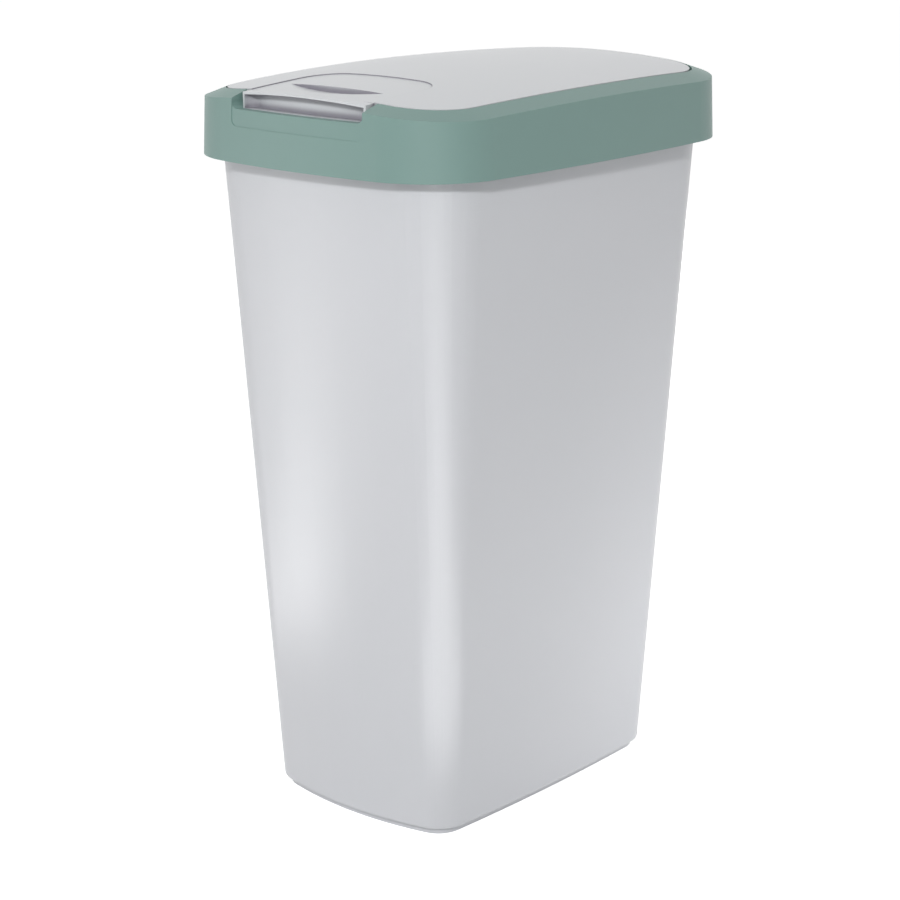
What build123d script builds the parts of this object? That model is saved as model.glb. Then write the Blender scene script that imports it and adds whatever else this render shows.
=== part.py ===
"""Kitchen bin with a hinged lid: bucket, rim frame, lid and two hinge pins.

Millimetres, +Z up, origin at the centre of the foot, on the floor.
The front, with the finger notch, faces -Y, and +X is to the right seen from the front.
"""
import os
from dataclasses import astuple, dataclass
from math import asin, cos, degrees, hypot, radians, sin, sqrt, tan

from build123d import *

# Rim frame seen from above: the outline that the other outlines are measured in from
frame_width = 288.0
frame_depth = 393.0
frame_corner = 68.0
front_bow = 600.0
back_bow = 3000.0
side_bow = 1900.0

# Height of the bin, and how far below it the skirt ends and the bucket's rim lies
crown_height = 600.0
frame_height = 65.0
rim_depth = 29.5

# Dome that the lid and the frame's top share
cross_arch = 850.0
long_arch = 2650.0
crest_back = 34.0

# Bucket
base_width = 197.0
base_depth = 290.0
base_corner = 28.0
base_front_bow = 310.0
base_back_bow = 1550.0
base_side_bow = 2200.0
bucket_wall = 2.2
bucket_floor = 2.6
neck_inset = 13.0
foot_height = 5.5
foot_inset = 6.0
foot_wall = 3.0
outer_base_round = 3.0
inner_base_round = 9.0
base_round_steps = 4
flange_wall = 2.2
flange_drop = 11.0
flange_clearance = 1.0

# Spans of each bowed side and corner of the bucket's tapered walls, narrow enough to be nearly flat
side_spans = 5
corner_spans = 6

# Rim frame
frame_wall = 2.2
skirt_draft = 2.3
bevel_width = 17.4
bevel_drop = 4.0
pocket_inset = 18.4
plug_wall = 2.0
plug_depth = 9.0
ledge_width = 8.6
ledge_thickness = 2.2
ledge_lift = 0.5
bag_lip_wall = 1.8
bag_lip_depth = 12.0
gusset_wall = 1.8
side_gusset_pitch = 62.0
side_gusset_count = 5
end_gusset_pitch = 54.0
end_gusset_count = 4

# Finger notch in the front of the frame, and the shallow panel below it
notch_width = 135.0
notch_round = 5.0
panel_depth = 0.5
panel_height = 13.0

# Lid
lid_gap = 1.2
swing_clearance = 1.2
lid_wall = 2.5
rib_height = 5.0
rib_wall = 1.6
rib_count = 4
rib_pitch = 52.0
rib_length = 190.0

# Grip of the lid: sunk panel, finger groove and thumb scoop
grip_width = 127.0
grip_reach = 9.1
grip_floor_wall = 2.6
grip_end_wall = 2.0
grip_end_round = 8.0
grip_tip = 1.3
grip_tip_slope = 12.0
bay_gap = 0.8
panel_drop = 0.7
panel_reach = 103.5
panel_round = 26.0
thumb_reach = 50.5
thumb_width = 96.0
thumb_sink = 3.2
thumb_run = 30.0

# Hinge: how far it lies in from the back and below the crown, and how far the lid opens
hinge_inset = 74.5
hinge_depth = 17.0
open_angle = 95.0
pin_diameter = 6.0
pin_point = 0.75
pin_head_diameter = 8.0
pin_head_wall = 1.6
pin_pad_diameter = 10.4
pin_pad_wall = 1.5
pin_fit = 0.05
pin_end_gap = 0.4
socket_clearance = 0.3
socket_wall = 1.6
socket_depth = 5.4
stop_gap = 0.6

# How far cutting tools reach past what they cut
overshoot = 4.0


@dataclass(frozen=True)
class Plan:
    """Outline seen from above: four bowed sides that run into round corners."""

    width: float
    depth: float
    corner: float
    front_bow: float
    back_bow: float
    side_bow: float

    def inset(self, distance):
        """The parallel outline that lies this far inside."""
        radii = (self.corner, self.front_bow, self.back_bow, self.side_bow)
        return Plan(self.width - 2 * distance, self.depth - 2 * distance,
                    *(radius - distance for radius in radii))

    def side_x(self, y):
        """Half the width at a distance behind the centre, along the bowed side."""
        return self.width / 2 - self.side_bow + sqrt(self.side_bow**2 - y**2)

    def corner_arc(self, end_bow, end):
        """Three points of the right-hand corner at the front (end -1) or the back (end 1)."""
        end_centre = (0.0, end * (self.depth / 2 - end_bow))
        side_centre = (self.width / 2 - self.side_bow, 0.0)
        near, far = end_bow - self.corner, self.side_bow - self.corner
        span = hypot(side_centre[0], end_centre[1])
        ahead = (-side_centre[0] / span, end_centre[1] / span)
        along = (far**2 - near**2 + span**2) / (2 * span)
        aside = end * sqrt(far**2 - along**2)
        centre = (side_centre[0] + ahead[0] * along - ahead[1] * aside,
                  ahead[1] * along + ahead[0] * aside)
        start, finish = self._past(end_centre, centre), self._past(side_centre, centre)
        chord_middle = ((start[0] + finish[0]) / 2, (start[1] + finish[1]) / 2)
        return start, self._past(centre, chord_middle, centre), finish

    def _past(self, source, through, centre=None):
        """Point of the corner circle in the direction from one point through another."""
        centre = centre or through
        away = hypot(through[0] - source[0], through[1] - source[1])
        return tuple(c + (t - s) * self.corner / away
                     for c, t, s in zip(centre, through, source))

    def face(self, height, side_spans=1, corner_spans=1):
        """The outline as a flat face at a height, its arcs divided into equal spans."""
        front = self.corner_arc(self.front_bow, -1)
        back = self.corner_arc(self.back_bow, 1)
        left_front, left_back = [tuple((-x, y) for x, y in arc) for arc in (front, back)]
        arcs = [
            (left_front[0], (0, -self.depth / 2), front[0]),
            front,
            (front[2], (self.width / 2, 0), back[2]),
            back[::-1],
            (back[0], (0, self.depth / 2), left_back[0]),
            left_back,
            (left_back[2], (-self.width / 2, 0), left_front[2]),
            left_front[::-1],
        ]
        edges = []
        for index, arc in enumerate(arcs):
            whole = ThreePointArc(*((x, y, height) for x, y in arc))
            spans = corner_spans if index % 2 else side_spans
            for span in range(spans):
                places = [(span + share) / spans for share in (0, 0.5, 1)]
                edges.append(ThreePointArc(*(whole @ place for place in places)))
        return Face(Wire(edges))


def prism(plan, bottom, top):
    """Straight-walled block on an outline."""
    return Solid.extrude(plan.face(bottom), Vector(0, 0, top - bottom))


def tapered(lower, bottom, upper, top, *spans):
    """Block whose walls run straight from one outline to another."""
    ends = (lower.face(bottom, *spans), upper.face(top, *spans))
    return Solid.make_loft([end.outer_wire() for end in ends], True)


def between(lower, upper, share):
    """The outline that lies this share of the way from one outline to another."""
    return Plan(*(low + share * (high - low)
                  for low, high in zip(astuple(lower), astuple(upper))))


def rounded_base(plan, bottom, radius):
    """Lowest part of a block on an outline, whose edge is rounded in conical steps."""
    turns = [radians(90 * step / base_round_steps) for step in range(base_round_steps + 1)]
    levels = [(plan.inset(radius * (1 - sin(turn))), bottom + radius * (1 - cos(turn)))
              for turn in turns]
    return [tapered(*lower, *upper) for lower, upper in zip(levels, levels[1:])]


def ring(plan, wall, bottom, top):
    """Upright wall that follows an outline on its inner side."""
    return prism(plan, bottom, top) - prism(plan.inset(wall), bottom, top)


def block(x_range, y_range, z_range):
    """Block between two limits on each axis."""
    size = [high - low for low, high in (x_range, y_range, z_range)]
    low = Pos(x_range[0], y_range[0], z_range[0])
    return low * Box(*size, align=(Align.MIN, Align.MIN, Align.MIN))


def rod(diameter, x_start, x_end):
    """Round bar on the hinge axis between two places along it."""
    plane = Plane(origin=(x_start, hinge_back, hinge_height), z_dir=(1, 0, 0))
    return extrude(plane * Circle(diameter / 2), x_end - x_start)


def rounded_window(width, bottom, top, radius):
    """Upright outline with round lower corners, to be cut from the front towards the back."""
    profile = Plane.XZ * Pos(0, (bottom + top) / 2) * Rectangle(width, top - bottom)
    return fillet(profile.vertices().group_by(Axis.Z)[0], radius)


def both_sides(right_half):
    """A piece and its mirror image across the bin's middle plane."""
    return [right_half, mirror(right_half, Plane.YZ)]


def crown(drop=0.0):
    """Everything under the dome, or under the parallel surface this far inside it."""
    radius = cross_arch - drop
    margin = 10 * overshoot
    half = frame_width / 2 + margin
    low = skirt_bottom - margin
    shoulder = crown_height - cross_arch + sqrt(radius**2 - half**2)
    sides = Polyline((half, shoulder), (half, low), (-half, low), (-half, shoulder))
    arch = ThreePointArc((-half, shoulder), (0, crown_height - drop), (half, shoulder))
    upright = Plane(origin=(0, crest_back, 0), x_dir=(1, 0, 0), z_dir=(0, -1, 0))
    axis = Axis((0, crest_back, crown_height - long_arch), (1, 0, 0))
    section = upright * make_face([*sides.edges(), arch])
    sweep = degrees(asin((frame_depth / 2 + crest_back + margin) / long_arch))
    return revolve(section.rotate(axis, -sweep), axis, 2 * sweep)


def dome_height(x, y):
    """Height of the dome above a point of the plan."""
    along = sqrt((long_arch - cross_arch + sqrt(cross_arch**2 - x**2))**2 - (y - crest_back)**2)
    return crown_height - long_arch + along


frame_plan = Plan(frame_width, frame_depth, frame_corner, front_bow, back_bow, side_bow)
base_plan = Plan(base_width, base_depth, base_corner,
                 base_front_bow, base_back_bow, base_side_bow)
neck_plan = frame_plan.inset(neck_inset)
pocket_plan = frame_plan.inset(pocket_inset)
roof = crown_height + overshoot
skirt_bottom = crown_height - frame_height
bucket_top = crown_height - rim_depth
ledge_bottom = bucket_top + ledge_lift
lid_seat = ledge_bottom + ledge_thickness
notch_floor = lid_seat + grip_floor_wall
front_face = -frame_depth / 2
pocket_front = front_face + pocket_inset
pocket_back = frame_depth / 2 - pocket_inset
grip_inset = pocket_inset + lid_gap - grip_reach
bay_inset = grip_inset - bay_gap
panel_back = front_face + panel_reach
thumb_back = front_face + thumb_reach
hinge_back = frame_depth / 2 - hinge_inset
hinge_height = crown_height - hinge_depth
hinge_wall = pocket_plan.side_x(hinge_back)


def skirt_lean(height):
    """How far the drafted skirt has leaned in at a height."""
    return tan(radians(skirt_draft)) * (height - skirt_bottom)


def frame_form(inset):
    """The frame's outer form with its bevelled edge, or the parallel form inside it."""
    lower, upper = frame_plan.inset(inset), frame_plan.inset(inset + skirt_lean(roof))
    form = tapered(lower, skirt_bottom, upper, roof) & crown(inset)
    top = form.faces().sort_by(Axis.Z)[-1]
    width = bevel_width - inset
    return chamfer(top.edges(), width, bevel_drop * width / bevel_width, reference=top)


def make_bucket():
    """Tapered tub with a standing foot, a rounded floor and a turned-down rim."""
    body = tapered(base_plan, foot_height + outer_base_round, neck_plan, bucket_top,
                   side_spans, corner_spans)
    body += rounded_base(base_plan, foot_height, outer_base_round)
    floor_top = foot_height + bucket_floor
    hollow_start = floor_top + inner_base_round
    rise = (hollow_start - foot_height) / (bucket_top - foot_height)
    inner_base = between(base_plan, neck_plan, rise).inset(bucket_wall)
    hollow = tapered(inner_base, hollow_start, neck_plan.inset(bucket_wall), bucket_top,
                     side_spans, corner_spans)
    hollow += rounded_base(inner_base, floor_top, inner_base_round)
    rim_plan = frame_plan.inset(frame_wall + skirt_lean(bucket_top) + flange_clearance)
    rim = prism(rim_plan, bucket_top - flange_drop, bucket_top)
    rim -= prism(rim_plan.inset(flange_wall), bucket_top - flange_drop,
                 bucket_top - flange_wall)
    foot = ring(base_plan.inset(foot_inset), foot_wall, 0, foot_height + bucket_floor / 2)
    return body + rim + foot - hollow


def make_gussets(inner_form):
    """Upright webs between skirt and plug, on whose lower edges the frame sits."""
    half = gusset_wall / 2
    reach = frame_depth
    webs = []
    for index in range(side_gusset_count):
        y = (index - (side_gusset_count - 1) / 2) * side_gusset_pitch
        webs.append(block((-reach, reach), (y - half, y + half), (bucket_top, roof)))
    for index in range(end_gusset_count):
        x = (index - (end_gusset_count - 1) / 2) * end_gusset_pitch
        webs.append(block((x - half, x + half), (-reach, reach), (bucket_top, roof)))
    core = prism(pocket_plan.inset(-plug_wall / 2), bucket_top, roof)
    return [(web & inner_form) - core for web in webs]


def make_sill(outer):
    """Hollow shelf behind the skirt that carries the floor and the ends of the notch."""
    half = notch_width / 2
    sill = block((-half - frame_wall, half + frame_wall), (front_face, pocket_front + overshoot),
                 (ledge_bottom, roof)) & outer
    hollow = prism(frame_plan.inset(frame_wall), ledge_bottom, notch_floor - frame_wall)
    hollow -= prism(frame_plan.inset(bay_inset - plug_wall), ledge_bottom, roof)
    return sill - (hollow & block((-half, half), (front_face, 0), (ledge_bottom, roof)))


def make_ledge():
    """Shelf inside the pocket that the lid lies on, with a lip for the bag's edge.

    It ends in front of the hinge, and the opened lid's skirt comes to rest against its ends.
    """
    ledge = ring(pocket_plan.inset(-plug_wall / 2), plug_wall / 2 + ledge_width,
                 ledge_bottom, lid_seat)
    ledge += ring(pocket_plan.inset(ledge_width - bag_lip_wall), bag_lip_wall,
                  lid_seat - bag_lip_depth, lid_seat)
    turn = radians(open_angle)
    levels = (lid_seat - bag_lip_depth - hinge_height, lid_seat - hinge_height)
    skirt_reach = hinge_height - lid_seat + max(level * cos(turn) for level in levels)
    ledge_end = hinge_back - skirt_reach / sin(turn) - stop_gap
    half = pocket_plan.width / 2
    tail = block((-half, half), (ledge_end, pocket_back), (skirt_bottom, roof))
    return ledge - (tail & prism(pocket_plan, skirt_bottom, roof))


def make_notch():
    """What is cut away for the fingers: the notch, the bay behind it and the panel below."""
    notch = rounded_window(notch_width, notch_floor, roof + notch_floor, notch_round)
    notch = extrude(notch, -front_face + overshoot) - prism(pocket_plan, skirt_bottom, roof)
    half = grip_width / 2 + bay_gap
    bay = block((-half, half), (front_face, 0), (lid_seat, roof))
    bay &= prism(frame_plan.inset(bay_inset), lid_seat, roof)
    panel = rounded_window(notch_width, notch_floor - panel_height, roof, notch_round)
    skin = tapered(frame_plan.inset(panel_depth), skirt_bottom,
                   frame_plan.inset(panel_depth + skirt_lean(roof)), roof)
    return [notch, bay, extrude(panel, -front_face + overshoot) - skin]


def make_frame():
    """Collar with a bevelled top, a plug inside the bucket and a ledge for the lid."""
    outer, inner = frame_form(0), frame_form(frame_wall)
    plug_bottom = bucket_top - plug_depth
    socket_diameter = pin_diameter + 2 * socket_clearance
    frame = outer - inner
    frame += prism(pocket_plan.inset(-plug_wall), plug_bottom, roof) & outer
    frame += make_gussets(inner)
    frame += make_sill(outer)
    boss = rod(socket_diameter + 2 * socket_wall, hinge_wall - plug_wall / 2,
               hinge_wall + socket_depth + socket_wall)
    frame += both_sides(boss & outer)
    frame -= prism(pocket_plan, skirt_bottom, roof)
    frame += make_ledge()
    for cut in make_notch():
        frame -= cut
    return frame - both_sides(rod(socket_diameter, hinge_wall - overshoot,
                                  hinge_wall + socket_depth))


def swing_back():
    """How far back the lid's edge can lie and still swing down past the pocket's wall."""
    radius = pocket_back - hinge_back - swing_clearance
    rise = dome_height(0, pocket_back) - hinge_height
    return hinge_back + sqrt(radius**2 - rise**2)


def lid_block(inset, bottom, top):
    """Block on the lid's outline, which stops short of the pocket at the back."""
    front, back = pocket_front + lid_gap, swing_back()
    whole = pocket_plan.inset(lid_gap)
    plan = Plan(whole.width, back - front, whole.corner,
                whole.front_bow, whole.back_bow, whole.side_bow)
    return Pos(0, (front + back) / 2) * prism(plan.inset(inset), bottom, top)


def make_grip():
    """Tongue of the lid in the notch, hollowed in front for the fingers."""
    half = grip_width / 2
    tongue = prism(frame_plan.inset(grip_inset), lid_seat, roof)
    back = pocket_front + lid_gap + lid_wall
    tongue &= block((-half, half), (front_face, back), (lid_seat, roof))
    groove_half = half - grip_end_wall
    groove = block((-groove_half, groove_half), (front_face, back), (notch_floor, roof))
    groove -= prism(pocket_plan.inset(lid_gap), notch_floor, roof)
    corners = groove.edges().filter_by(Axis.Z).group_by(Axis.Y)[-1]
    groove = fillet(corners, grip_end_round)
    tip = front_face + grip_inset
    underside = Axis((0, tip, dome_height(0, tip)), (1, 0, 0))
    groove &= crown(panel_drop + grip_tip).rotate(underside, -grip_tip_slope)
    return tongue - groove


def make_thumb_scoop(wall):
    """Scoop in front of an upright back wall, or the same form thicker by a wall."""
    slope = thumb_sink / thumb_run
    radius = (thumb_width**2 / 4 + thumb_sink**2) / (2 * thumb_sink)
    deepest = dome_height(0, thumb_back) - thumb_sink
    centre = (0, thumb_back, deepest + radius)
    length = 2 * thumb_run
    lie = Plane(origin=centre, x_dir=(1, 0, 0), z_dir=(0, -1, slope))
    bowl = extrude(lie * Circle(radius + wall), length, both=True)
    ahead = block((-thumb_width, thumb_width), (thumb_back - 3 * thumb_run, thumb_back + wall),
                  (deepest - thumb_width, roof))
    return bowl & ahead


def make_ribs():
    """Upright ribs across the underside of the lid, whose lower edges follow the dome."""
    half = rib_length / 2
    ribs = []
    for index in range(rib_count):
        y = crest_back + (index - (rib_count - 1) / 2) * rib_pitch
        root, edge = [ThreePointArc(*((x, y, dome_height(x, y) - drop) for x in (-half, 0, half)))
                      for drop in (lid_wall / 2, lid_wall + rib_height)]
        ends = [Line(root @ end, edge @ end) for end in (0, 1)]
        profile = make_face([*root.edges(), *edge.edges(), *ends[0].edges(), *ends[1].edges()])
        ribs.append(extrude(profile, rib_wall / 2, dir=(0, 1, 0), both=True))
    return ribs


def make_lid():
    """Domed cover with a skirt all round, ribs below and the grip in front."""
    lid = lid_block(0, lid_seat, roof) + make_grip()
    lid &= crown()
    sunk = Plane.XY * Pos(0, (front_face + panel_back) / 2) * Rectangle(
        grip_width, panel_back - front_face)
    sunk = fillet(sunk.vertices().group_by(Axis.Y)[-1], panel_round)
    sunk = extrude(Pos(0, 0, lid_seat) * sunk, roof - lid_seat)
    lid -= sunk - crown(panel_drop)
    lid -= make_thumb_scoop(0)

    hollow = lid_block(lid_wall, lid_seat, roof) & crown(lid_wall)
    hollow -= sunk - crown(panel_drop + lid_wall)
    hollow -= make_thumb_scoop(lid_wall)
    lid -= hollow
    for rib in make_ribs():
        lid += rib

    seat = hinge_wall - lid_gap - lid_wall - pin_pad_wall
    lid += [pad & crown(lid_wall / 2)
            for pad in both_sides(rod(pin_pad_diameter, seat, seat + pin_pad_wall + lid_wall / 2))]
    lid -= both_sides(rod(pin_diameter + 2 * pin_fit, seat - overshoot, hinge_wall + overshoot))
    return lid


def make_pin():
    """Right-hand hinge pin: its head inside the lid, its end in the frame's socket."""
    seat = hinge_wall - lid_gap - lid_wall - pin_pad_wall
    end = hinge_wall + socket_depth - pin_end_gap
    pin = rod(pin_head_diameter, seat - pin_head_wall, seat) + rod(pin_diameter, seat, end)
    return chamfer(pin.edges().sort_by(Axis.X)[-1], pin_point)


def main():
    """Builds every piece and writes one file for each."""
    pin = make_pin()
    pieces = {
        "bucket": make_bucket(),
        "rim_frame": make_frame(),
        "lid": make_lid(),
        "hinge_pin_right": pin,
        "hinge_pin_left": mirror(pin, Plane.YZ),
    }
    os.makedirs("parts", exist_ok=True)
    for name, piece in pieces.items():
        piece.label = name
        export_step(piece, f"parts/{name}.step")
        print(name, "solids", len(piece.solids()), "volume", round(piece.volume))


main()
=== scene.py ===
# %% [markdown]
# # Dressing a kitchen bin
# The bin is three plastic mouldings and two pins: a tapered bucket, a rim frame that lies over
# its edge, and a domed lid that swings in the frame. The solids come ready made, in metres, with
# +Z up and the front towards -Y. This script gives them a finish, light and a camera. Loading
# them comes first, because everything else is measured from them.

# %% Load the solids
import math

import bpy
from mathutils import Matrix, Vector


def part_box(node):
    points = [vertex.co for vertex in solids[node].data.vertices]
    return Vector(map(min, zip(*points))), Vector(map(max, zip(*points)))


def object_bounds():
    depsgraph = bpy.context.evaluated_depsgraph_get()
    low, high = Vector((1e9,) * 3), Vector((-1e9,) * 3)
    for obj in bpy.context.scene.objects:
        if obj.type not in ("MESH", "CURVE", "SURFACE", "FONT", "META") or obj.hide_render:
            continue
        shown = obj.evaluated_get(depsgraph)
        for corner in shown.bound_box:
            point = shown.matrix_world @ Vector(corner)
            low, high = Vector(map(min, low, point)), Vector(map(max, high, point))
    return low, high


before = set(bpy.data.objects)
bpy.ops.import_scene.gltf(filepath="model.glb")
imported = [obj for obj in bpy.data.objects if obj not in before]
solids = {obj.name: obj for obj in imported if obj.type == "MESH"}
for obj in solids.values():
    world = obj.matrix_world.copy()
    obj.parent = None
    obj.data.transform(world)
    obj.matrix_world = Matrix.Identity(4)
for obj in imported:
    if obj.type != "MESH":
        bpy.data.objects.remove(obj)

MM = 0.001
scene = bpy.context.scene
solid_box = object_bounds()
for name in sorted(solids):
    low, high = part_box(name)
    print(name, "size in mm", [round(side / MM, 1) for side in high - low])

# %% [markdown]
# The camera stands to the right of the front and a little above the lid. A long lens from about
# two metres keeps the upright edges almost parallel, which is how products are photographed. A
# wide lens nearby would make the top look too large for the foot.

# %% Set up the camera
CAMERA_PLACE = (1.2209, -1.4259, 0.8044)
CAMERA_AROUND = 40.89  # degrees round from the front
CAMERA_DOWN = 15.64  # degrees that it looks down
LENS_MM = 93.57
SENSOR_MM = 36.0
camera = bpy.data.objects.new("camera", bpy.data.cameras.new("camera"))
camera.data.sensor_width = SENSOR_MM
camera.data.lens = LENS_MM
camera.location = CAMERA_PLACE
camera.rotation_euler = (math.radians(90 - CAMERA_DOWN), 0, math.radians(CAMERA_AROUND))
scene.collection.objects.link(camera)
scene.camera = camera
scene.view_settings.view_transform = "Standard"
print("camera distance in m", round(camera.location.length, 2))

# %% [markdown]
# Colours are chosen as sRGB hex values, the way a designer picks them, but a shader works in
# linear light. One function makes the change, so a colour renders about as it is written. It is
# the sRGB standard's own curve: a short straight line near black, and a power above it.

# %% Turn sRGB hex colours to linear
def linear(hex_colour):
    """Linear RGBA of an sRGB colour such as "7D9B95"."""
    channels = [int(hex_colour[start:start + 2], 16) / 255 for start in (0, 2, 4)]
    return [c / 12.92 if c <= 0.04045 else ((c + 0.055) / 1.055) ** 2.4 for c in channels] + [1.0]


print("mid grey in linear light", [round(c, 3) for c in linear("808080")])

# %% [markdown]
# A material is a small tree of nodes. Adding a node, setting it and linking it is the same few
# lines each time, so one function does that for every kind of node. An input is found by its name,
# or by its number where a node has several inputs of one name.

# %% Add nodes
def add_node(tree, kind, inputs=None, **settings):
    """Adds a node, with its settings and with inputs that are values or other nodes' outputs."""
    node = tree.nodes.new(kind)
    for name, value in settings.items():
        setattr(node, name, value)
    for name, value in (inputs or {}).items():
        if isinstance(value, bpy.types.NodeSocket):
            tree.links.new(value, node.inputs[name])
        else:
            node.inputs[name].default_value = value
    return node


def repeats(size_mm):
    """Scale of a noise whose features are about this many millimetres across."""
    return 1 / (size_mm * MM)


print("a 1 mm pattern repeats", round(repeats(1)), "times in a metre")

# %% [markdown]
# Little light reaches the corner of a groove or the foot of a step, so the eye reads the creases
# of a pale lid as fine dark lines. The step round this lid's sunk panel is only half a millimetre
# high, so in soft light it hardly shows by its shade, and that shade is painted into the colour.
# Drawing the lines by hand would tie them to one shape, so the finish asks how open each point
# is: rays a few millimetres long are sent out, and where many of them hit the same piece, the
# colour turns darker, as painted shade.

# %% Find the creases
CREASE_REACH_MM = 7.0
CREASE_RAYS = 16
CREASE_OPEN = 0.97  # share of rays that get away where a crease begins to show
CREASE_DEEP = 2 / 3  # share of rays that get away where it is darkest


def creases(tree):
    """How much painted shade a point gets: 1 deep in a groove or at the foot of a step, 0 on an
    open face.
    """
    openness = add_node(tree, "ShaderNodeAmbientOcclusion", {"Distance": CREASE_REACH_MM * MM},
                        samples=CREASE_RAYS, only_local=True)
    depth = add_node(tree, "ShaderNodeMapRange",
                     {"Value": openness.outputs["AO"], "From Min": CREASE_DEEP,
                      "From Max": CREASE_OPEN, "To Min": 1.0, "To Max": 0.0})
    return depth.outputs["Result"]


print("creases reach in mm", CREASE_REACH_MM)

# %% [markdown]
# All three mouldings are polypropylene, injected into a steel mould. The bucket and frame come
# from a spark-eroded mould, whose fine pits give the eye a soft satin with no sharp reflection.
# The lid comes from a stoned, smoother mould and shines a little more. Thick stock shrinks as it
# cools, which leaves faint waves about a hand wide. Painting this with an image would show its
# edges, so noise in real sizes is used: pits, waves, and a slight drift of the colour. Real pits
# are about 0.1 mm across, too fine to show here, so they are drawn coarser.

# %% Make the moulded polypropylene
PITS_MM = 1.1
WAVES_MM = 70.0
DRIFT_MM = 160.0
ROUGHNESS_DRIFT = 0.03
PLASTIC_IOR = 1.49
# The Mix node has sockets for several kinds of value under the same names. These are for colours.
MIX_SHARE, MIX_FIRST, MIX_SECOND, MIX_RESULT = 0, 6, 7, 2


def moulded_plastic(name, pale, deep, roughness, pit_depth_mm, wave_depth_mm, crease_shade=None):
    """A moulded finish with pits and cooling waves, drifting between two near colours.

    A crease colour, where given, is painted shade that darkens the creases.
    """
    material = bpy.data.materials.new(name)
    material.use_nodes = True
    tree = material.node_tree
    tree.nodes.clear()
    place = add_node(tree, "ShaderNodeTexCoord").outputs["Object"]
    drift = add_node(tree, "ShaderNodeTexNoise",
                     {"Vector": place, "Scale": repeats(DRIFT_MM), "Detail": 3.0}).outputs["Fac"]
    colour = add_node(tree, "ShaderNodeMix",
                      {MIX_SHARE: drift, MIX_FIRST: linear(pale), MIX_SECOND: linear(deep)},
                      data_type="RGBA").outputs[MIX_RESULT]
    # Painted shade: the colour darkens towards the crease colour where few rays get away.
    if crease_shade:
        colour = add_node(tree, "ShaderNodeMix",
                          {MIX_SHARE: creases(tree), MIX_FIRST: colour, MIX_SECOND: linear(crease_shade)},
                          data_type="RGBA").outputs[MIX_RESULT]
    waves = add_node(tree, "ShaderNodeTexNoise",
                     {"Vector": place, "Scale": repeats(WAVES_MM), "Detail": 1.0})
    pits = add_node(tree, "ShaderNodeTexNoise",
                    {"Vector": place, "Scale": repeats(PITS_MM), "Detail": 2.0})
    waved = add_node(tree, "ShaderNodeBump",
                     {"Height": waves.outputs["Fac"], "Distance": wave_depth_mm * MM})
    pitted = add_node(tree, "ShaderNodeBump",
                      {"Height": pits.outputs["Fac"], "Distance": pit_depth_mm * MM,
                       "Normal": waved.outputs["Normal"]})
    patches = add_node(tree, "ShaderNodeMapRange",
                       {"Value": drift, "To Min": roughness - ROUGHNESS_DRIFT,
                        "To Max": roughness + ROUGHNESS_DRIFT})
    shader = add_node(tree, "ShaderNodeBsdfPrincipled",
                      {"Base Color": colour, "Roughness": patches.outputs["Result"],
                       "IOR": PLASTIC_IOR, "Normal": pitted.outputs["Normal"]})
    add_node(tree, "ShaderNodeOutputMaterial", {"Surface": shader.outputs["BSDF"]})
    return material


bucket_finish = moulded_plastic("eroded_polypropylene_grey", "D6D7DB", "D2D4D8",
                                roughness=0.36, pit_depth_mm=0.030, wave_depth_mm=0.10)
frame_finish = moulded_plastic("eroded_polypropylene_sage", "7D9B95", "799791",
                               roughness=0.42, pit_depth_mm=0.030, wave_depth_mm=0.10)
# The lid's crease colour is painted shade, a darker grey for its grooves and steps.
lid_finish = moulded_plastic("stoned_polypropylene_grey", "DADCDF", "D6D9DC", crease_shade="95939C",
                             roughness=0.30, pit_depth_mm=0.012, wave_depth_mm=0.14)
print("finishes", bucket_finish.name, frame_finish.name, lid_finish.name)

# %% [markdown]
# The hinge pins are acetal, which is harder and slips better than polypropylene. They are
# polished by turning in their sockets, so they get the smoothest finish of all. The two plastics
# bend light nearly alike, so the same function serves.

# %% Make the acetal and give each solid its finish
pin_finish = moulded_plastic("natural_acetal", "E4E3DE", "DFDED8",
                             roughness=0.25, pit_depth_mm=0.004, wave_depth_mm=0.02)
finishes = {"bucket": bucket_finish, "rim_frame": frame_finish, "lid": lid_finish,
            "hinge_pin_left": pin_finish, "hinge_pin_right": pin_finish}
for name, finish in finishes.items():
    solid = solids[name]
    for slot in solid.material_slots:
        slot.material = finish
    if not solid.material_slots:
        solid.data.materials.append(finish)
    print(name, "has", finish.name)

# %% [markdown]
# The background is white paper. Making it white with stronger lamps would burn out the pale
# plastic, so the paper only looks white: a ray that comes straight from the camera, or by way of a
# reflection or a clear body, sees it brighter than it lights the bin. One function tells those
# rays from the rest, for the floor and for the sky above it.

# %% Tell the rays that see the background from those that light the bin
def seeing_rays(tree):
    """1 for a ray from the camera, a reflection or a clear body, and 0 for any other."""
    path = add_node(tree, "ShaderNodeLightPath").outputs
    seen = path["Is Camera Ray"]
    for kind in ("Is Glossy Ray", "Is Transmission Ray"):
        seen = add_node(tree, "ShaderNodeMath", {0: seen, 1: path[kind]},
                        operation="MAXIMUM").outputs[0]
    return seen


print("background is lifted for camera, glossy and transmission rays")

# %% [markdown]
# The floor is plain, pale and matt, and a glow lifts it to the white of the paper. Near the bin
# the glow and the lamps together pass white, so the bin's soft shadow on the floor is lost in it.
# A much weaker glow would show the shadow, but it would also turn the far floor grey.

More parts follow.
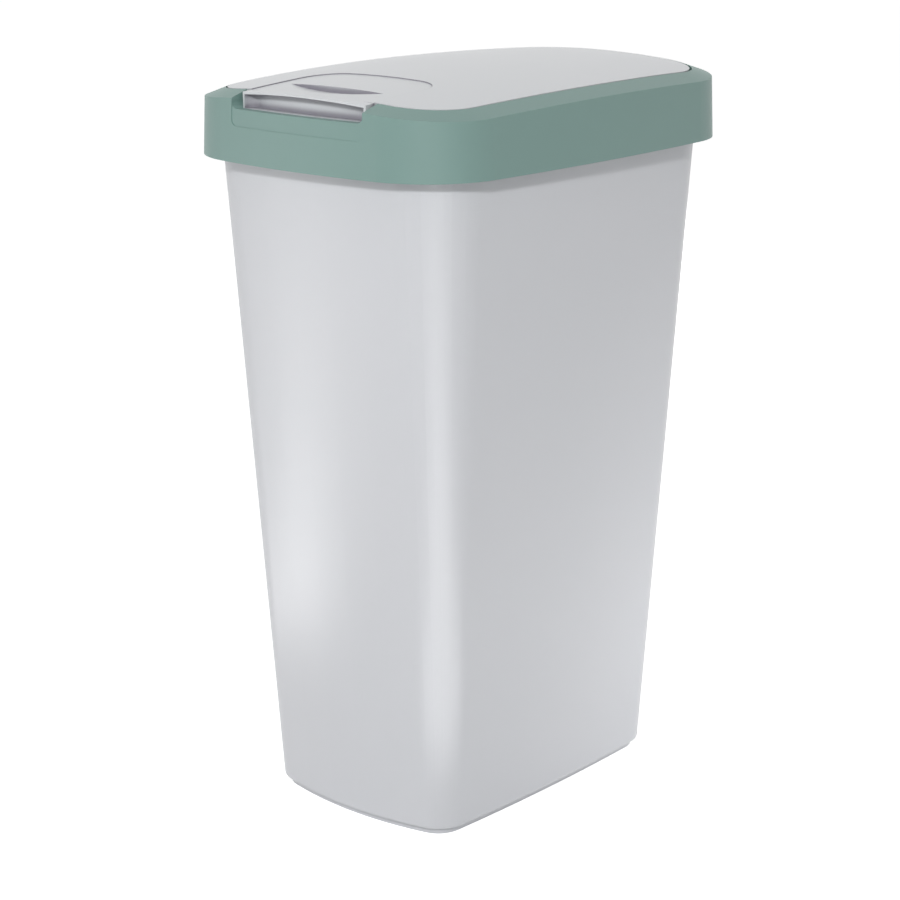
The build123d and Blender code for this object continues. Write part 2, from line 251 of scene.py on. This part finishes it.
# %% Lay the floor
FLOOR_REACH = 12.0
FLOOR_GLOW = 0.74
floor_mesh = bpy.data.meshes.new("floor")
floor_corners = [(x, y, 0) for x, y in ((-1, -1), (1, -1), (1, 1), (-1, 1))]
floor_mesh.from_pydata([tuple(FLOOR_REACH * c for c in corner) for corner in floor_corners],
                       [], [(0, 1, 2, 3)])
floor = bpy.data.objects.new("floor", floor_mesh)
scene.collection.objects.link(floor)
floor_finish = bpy.data.materials.new("matt_white_board")
floor_finish.use_nodes = True
tree = floor_finish.node_tree
tree.nodes.clear()
board = add_node(tree, "ShaderNodeBsdfDiffuse", {"Color": linear("F2F2F2")}).outputs[0]
glow = add_node(tree, "ShaderNodeEmission",
                {"Color": linear("FFFFFF"), "Strength": FLOOR_GLOW}).outputs[0]
lifted = add_node(tree, "ShaderNodeAddShader", {0: board, 1: glow}).outputs[0]
mixed = add_node(tree, "ShaderNodeMixShader", {0: seeing_rays(tree), 1: board, 2: lifted})
add_node(tree, "ShaderNodeOutputMaterial", {"Surface": mixed.outputs[0]})
floor_mesh.materials.append(floor_finish)
print("floor half width in m", FLOOR_REACH)

# %% [markdown]
# The world gives an even light from all round. It is kept weak, because a strong one would wash
# out the bands of light and shade by which the eye reads a smooth form.

# %% Light the world
AMBIENT = 0.31
SEEN_WHITE = 1.0
world = bpy.data.worlds.new("studio")
world.use_nodes = True
scene.world = world
tree = world.node_tree
tree.nodes.clear()
soft = add_node(tree, "ShaderNodeBackground",
                {"Color": linear("FFFFFF"), "Strength": AMBIENT}).outputs[0]
white = add_node(tree, "ShaderNodeBackground",
                 {"Color": linear("FFFFFF"), "Strength": SEEN_WHITE}).outputs[0]
mixed = add_node(tree, "ShaderNodeMixShader", {0: seeing_rays(tree), 1: soft, 2: white})
add_node(tree, "ShaderNodeOutputWorld", {"Surface": mixed.outputs[0]})
print("ambient strength", AMBIENT)

# %% [markdown]
# Every lamp here is a flat glowing rectangle that the camera doesn't see. A real softbox both
# lights a surface and is mirrored in it, and on a smooth form the two are hard to place at once.
# So two of the lamps here only light the bin, two are only mirrored in it, and the other three do
# both.

# %% Add lamps
def add_lamp(name, width, height, watts, place, turned):
    """A rectangular lamp, width by height in metres, that shines along its own -Z."""
    light = bpy.data.lights.new(name, "AREA")
    light.shape = "RECTANGLE"
    light.size = width
    light.size_y = height
    light.energy = watts
    lamp = bpy.data.objects.new(name, light)
    lamp.location = place
    lamp.rotation_euler = turned
    lamp.visible_camera = False
    scene.collection.objects.link(lamp)
    print(name, "at", [round(c, 2) for c in lamp.location])
    return lamp


print("every lamp is a rectangle that the camera doesn't see")

# %% [markdown]
# The key lamp is small, to the right of the front and fairly high. It makes the rounded corner
# brighter than the walls beside it, and it is hard enough to draw the frame's shadow on the
# bucket. Softboxes fill in from the left, from behind and from above, and a weak lamp low behind
# on the right brightens the foot of the side. Each is given as a photographer would say it:
# degrees round from the front and up, metres away, width and height, and watts.

# %% Place the lamps
SOFTBOXES = {
    "left_softbox": (-42, 8, 2.6, 0.9, 1.9, 8.0),
    "key_lamp": (34, 28, 2.8, 0.22, 0.22, 31.0),
    "low_lamp": (130, -26, 0.54, 0.2, 0.08, 0.4),
    "back_softbox": (203, 12, 2.8, 1.2, 1.2, 18.0),
    "top_softbox": (-20, 78, 2.4, 1.4, 1.4, 7.0),
}
UNMIRRORED = ("low_lamp", "back_softbox")  # their reflections would glare on the side and lid
bin_middle = (solid_box[0] + solid_box[1]) / 2
for name, (around, above, away, width, height, watts) in SOFTBOXES.items():
    turn, rise = math.radians(around), math.radians(above)
    toward = Vector((math.sin(turn) * math.cos(rise), -math.cos(turn) * math.cos(rise),
                     math.sin(rise)))
    softbox = add_lamp(name, width, height, watts, bin_middle + away * toward,
                       toward.to_track_quat("Z", "Y").to_euler())
    softbox.visible_glossy = name not in UNMIRRORED

# %% [markdown]
# A wall that is seen from above mirrors what lies on the floor, not what stands round it. So the
# soft bands of light on the front and in the rounded corner come from strip lamps that lie on the
# floor and point up, in line with the mirrored rays. Each starts near the foot, because the foot
# mirrors the floor close by and the rim mirrors it further out. The strips are only mirrored: they
# lay a sheen on the walls and don't light them. Each is given by the degrees round, the metres to
# its near and far end, its width and its watts.

# %% Lay the strip lamps on the floor
STRIPS = {
    "front_strip": (-46, 0.45, 2.1, 0.25, 5.5),
    "corner_strip": (51, 0.26, 1.8, 0.48, 7.0),
}
STRIP_LIFT = 0.004  # metres above the floor, so that the floor doesn't cover them
for name, (around, near, far, width, watts) in STRIPS.items():
    turn, reach = math.radians(around), (near + far) / 2
    strip = add_lamp(name, width, far - near, watts,
                     (reach * math.sin(turn), -reach * math.cos(turn), STRIP_LIFT),
                     (math.pi, 0, turn))
    strip.visible_diffuse = False
